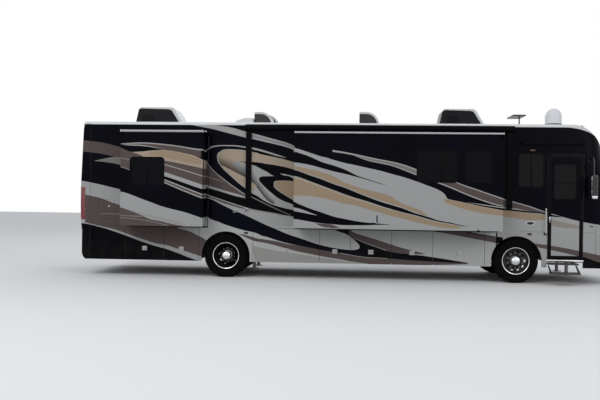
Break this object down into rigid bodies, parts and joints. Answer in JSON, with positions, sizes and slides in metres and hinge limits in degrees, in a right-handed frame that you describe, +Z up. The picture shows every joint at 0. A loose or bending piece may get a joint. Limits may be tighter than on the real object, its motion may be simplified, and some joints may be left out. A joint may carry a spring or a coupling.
{
  "type": "motorhome",
  "caption": "Long rear-engined motorhome with slide-out rooms, luggage bays, an entry door and step, roof air conditioners, awnings and dual rear wheels",
  "frame": {"origin": "on the ground at the middle of the overall length and width", "axes": "+X forward, +Y to the left, +Z up"},
  "size_m": [11.97, 3.741, 3.9199],
  "materials": {
    "antenna_white": "satin",
    "awning_black": "satin",
    "dark_glass": "gloss",
    "dash_grey": "matte",
    "engine_grey": "matte",
    "floor_grey": "matte",
    "frame_black": "satin",
    "lamp_clear": "gloss",
    "lamp_red": "gloss",
    "mirror_black": "gloss",
    "paint_black": "gloss",
    "seat_tan": "matte",
    "shroud_black": "satin",
    "steel": "satin",
    "step_black": "satin",
    "tank_black": "matte",
    "tyre": "matte",
    "vent_white": "satin",
    "wheel_aluminium": "polished",
    "white_gelcoat": "gloss",
    "windshield_glass": "gloss",
    "wiper_black": "matte"
  },
  "bodies": {
    "coach": {"right_side_wall": "paint_black", "left_side_wall": "paint_black", "side_windows": "dark_glass", "roof": "white_gelcoat", "front_cap": "paint_black", "windshield": "windshield_glass", "headlamps": "lamp_clear", "rear_cap": "paint_black", "tail_lamps": "lamp_red", "house_floor": "floor_grey", "wheel_wells": "floor_grey", "chassis_frame": "frame_black", "luggage_bays": "floor_grey", "front_axle": "frame_black", "rear_axle": "frame_black", "power_train": "engine_grey", "tanks": "tank_black", "leveling_jacks": "steel", "hitch_receiver": "frame_black", "awnings": "awning_black", "air_conditioners": "shroud_black", "roof_vents": "vent_white", "roof_antennas": "antenna_white", "mirrors": "mirror_black", "wipers": "wiper_black", "dashboard": "dash_grey", "front_seats": "seat_tan"},
    "entry_door": {"entry_door": "paint_black", "entry_door_window": "dark_glass"},
    "entry_step": {"entry_step": "step_black"},
    "rear_slide": {"rear_slide": "paint_black", "rear_slide_window": "dark_glass"},
    "front_slide": {"front_slide": "paint_black", "front_slide_windows": "dark_glass"},
    "left_slide": {"left_slide": "paint_black", "left_slide_windows": "dark_glass"},
    "engine_door": {"engine_door": "paint_black"},
    "steering_right": {"knuckle_right": "frame_black"},
    "steering_left": {"knuckle_left": "frame_black"},
    "tie_rod": {"tie_rod": "steel"},
    "front_right_wheel": {"front_right_wheel": "wheel_aluminium", "front_right_tyre": "tyre"},
    "front_left_wheel": {"front_left_wheel": "wheel_aluminium", "front_left_tyre": "tyre"},
    "rear_right_wheels": {"rear_right_wheels": "wheel_aluminium", "rear_right_tyres": "tyre"},
    "rear_left_wheels": {"rear_left_wheels": "wheel_aluminium", "rear_left_tyres": "tyre"},
    "right_bay_door_1": {"right_bay_door_1": "paint_black"},
    "right_bay_door_2": {"right_bay_door_2": "paint_black"},
    "right_bay_door_3": {"right_bay_door_3": "paint_black"},
    "right_bay_door_4": {"right_bay_door_4": "paint_black"},
    "right_bay_door_5": {"right_bay_door_5": "paint_black"},
    "right_bay_door_6": {"right_bay_door_6": "paint_black"},
    "right_bay_door_7": {"right_bay_door_7": "paint_black"},
    "left_bay_door_1": {"left_bay_door_1": "paint_black"},
    "left_bay_door_2": {"left_bay_door_2": "paint_black"},
    "left_bay_door_3": {"left_bay_door_3": "paint_black"},
    "left_bay_door_4": {"left_bay_door_4": "paint_black"}
  },
  "joints": [
    {"name": "entry_door_hinge", "type": "hinge", "parent": "coach", "child": "entry_door", "pos_m": [5.16, -1.2825, 1.6885], "axis": [0, 0, 1], "range_deg": [0, 90]},
    {"name": "engine_door_hinge", "type": "hinge", "parent": "coach", "child": "engine_door", "pos_m": [-5.985, 0, 1.36], "axis": [0, 1, 0], "range_deg": [0, 80]},
    {"name": "entry_step_slide", "type": "slide", "parent": "coach", "child": "entry_step", "axis": [0, 1, 0], "range_m": [0, 0.25]},
    {"name": "rear_slide_travel", "type": "slide", "parent": "coach", "child": "rear_slide", "axis": [0, 1, 0], "range_m": [0, 0.5]},
    {"name": "front_slide_travel", "type": "slide", "parent": "coach", "child": "front_slide", "axis": [0, 1, 0], "range_m": [0, 0.5]},
    {"name": "left_slide_travel", "type": "slide", "parent": "coach", "child": "left_slide", "axis": [0, -1, 0], "range_m": [0, 0.5]},
    {"name": "right_bay_door_1_hinge", "type": "hinge", "parent": "coach", "child": "right_bay_door_1", "pos_m": [-3.267, -1.2825, 0.735], "axis": [0, 0, 1], "range_deg": [0, 90]},
    {"name": "right_bay_door_2_hinge", "type": "hinge", "parent": "coach", "child": "right_bay_door_2", "pos_m": [-4.061, -1.2825, 0.735], "axis": [0, 0, 1], "range_deg": [0, 90]},
    {"name": "right_bay_door_3_hinge", "type": "hinge", "parent": "coach", "child": "right_bay_door_3", "pos_m": [-0.555, -1.2825, 0.735], "axis": [0, 0, 1], "range_deg": [0, 90]},
    {"name": "right_bay_door_4_hinge", "type": "hinge", "parent": "coach", "child": "right_bay_door_4", "pos_m": [0.127, -1.2825, 0.735], "axis": [0, 0, 1], "range_deg": [0, 90]},
    {"name": "right_bay_door_5_hinge", "type": "hinge", "parent": "coach", "child": "right_bay_door_5", "pos_m": [1.033, -1.2825, 0.735], "axis": [0, 0, 1], "range_deg": [0, 90]},
    {"name": "right_bay_door_6_hinge", "type": "hinge", "parent": "coach", "child": "right_bay_door_6", "pos_m": [1.934, -1.2825, 0.735], "axis": [0, 0, 1], "range_deg": [0, 90]},
    {"name": "right_bay_door_7_hinge", "type": "hinge", "parent": "coach", "child": "right_bay_door_7", "pos_m": [3.058, -1.2825, 0.735], "axis": [0, 0, 1], "range_deg": [0, 90]},
    {"name": "left_bay_door_1_hinge", "type": "hinge", "parent": "coach", "child": "left_bay_door_1", "pos_m": [-0.555, 1.2825, 0.735], "axis": [0, 0, -1], "range_deg": [0, 90]},
    {"name": "left_bay_door_2_hinge", "type": "hinge", "parent": "coach", "child": "left_bay_door_2", "pos_m": [1.033, 1.2825, 0.735], "axis": [0, 0, -1], "range_deg": [0, 90]},
    {"name": "left_bay_door_3_hinge", "type": "hinge", "parent": "coach", "child": "left_bay_door_3", "pos_m": [1.934, 1.2825, 0.735], "axis": [0, 0, -1], "range_deg": [0, 90]},
    {"name": "left_bay_door_4_hinge", "type": "hinge", "parent": "coach", "child": "left_bay_door_4", "pos_m": [3.058, 1.2825, 0.735], "axis": [0, 0, -1], "range_deg": [0, 90]},
    {"name": "steer_left", "type": "hinge", "parent": "coach", "child": "steering_left", "pos_m": [3.745, 0.93, 0.4865], "axis": [0, 0, 1], "range_deg": [-45, 45]},
    {"name": "steer_right", "type": "hinge", "parent": "coach", "child": "steering_right", "pos_m": [3.745, -0.93, 0.4865], "axis": [0, 0, 1], "range_deg": [-45, 45]},
    {"name": "tie_rod_pivot", "type": "hinge", "parent": "steering_left", "child": "tie_rod", "pos_m": [3.525, 0.93, 0.3565], "axis": [0, 0, 1], "range_deg": [-45, 45]},
    {"name": "front_right_wheel_spin", "type": "hinge", "parent": "steering_right", "child": "front_right_wheel", "pos_m": [3.745, -1.115, 0.4865], "axis": [0, 1, 0], "continuous": true},
    {"name": "rear_right_wheels_spin", "type": "hinge", "parent": "coach", "child": "rear_right_wheels", "pos_m": [-2.655, -0.95, 0.4865], "axis": [0, 1, 0], "continuous": true},
    {"name": "front_left_wheel_spin", "type": "hinge", "parent": "steering_left", "child": "front_left_wheel", "pos_m": [3.745, 1.115, 0.4865], "axis": [0, 1, 0], "continuous": true},
    {"name": "rear_left_wheels_spin", "type": "hinge", "parent": "coach", "child": "rear_left_wheels", "pos_m": [-2.655, 0.95, 0.4865], "axis": [0, 1, 0], "continuous": true}
  ],
  "couplings": [
    {"joint": "steer_right", "follows": "steer_left", "ratio": 1},
    {"joint": "tie_rod_pivot", "follows": "steer_left", "ratio": -1}
  ]
}
